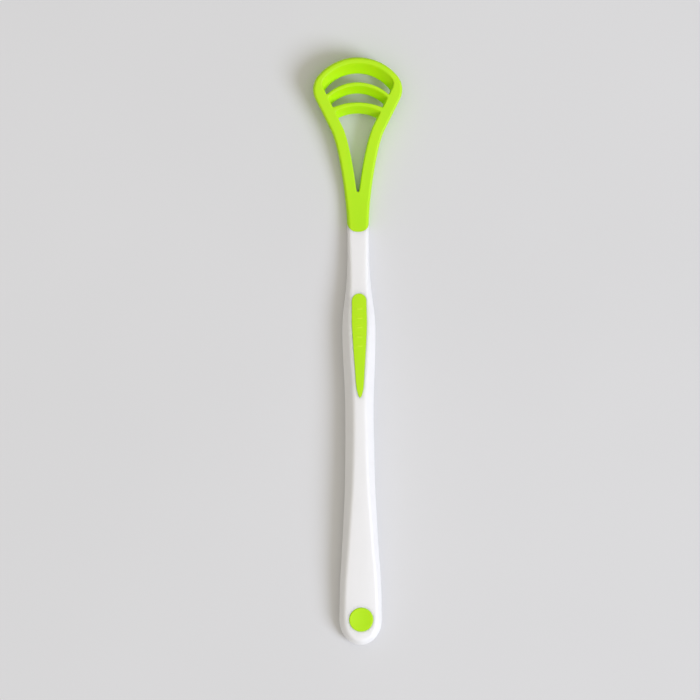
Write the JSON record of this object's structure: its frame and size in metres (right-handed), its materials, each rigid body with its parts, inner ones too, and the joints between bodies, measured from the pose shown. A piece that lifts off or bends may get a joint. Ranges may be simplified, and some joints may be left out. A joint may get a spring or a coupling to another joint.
{
  "type": "tongue scraper",
  "caption": "Slim tongue scraper: a white faceted handle with green inlays, and a green fan-shaped head with three curved scraping blades.",
  "frame": {"origin": "middle of the overall length, on the long axis, on the flat back that lies on the table", "axes": "+Y along the handle from the tail to the head, +X to the right seen from the front, +Z out of the front face with the inlays and the blade edges"},
  "size_m": [0.0288, 0.1901, 0.0084],
  "materials": {
    "white_plastic": "satin moulded polypropylene",
    "green_plastic": "satin moulded firm polymer",
    "green_inlay": "satin moulded firm polymer, the same shot as the head"
  },
  "bodies": {
    "root": {"handle": "white_plastic", "head": "green_plastic", "thumb_pad": "green_inlay", "tail_disc": "green_inlay"}
  },
  "joints": []
}
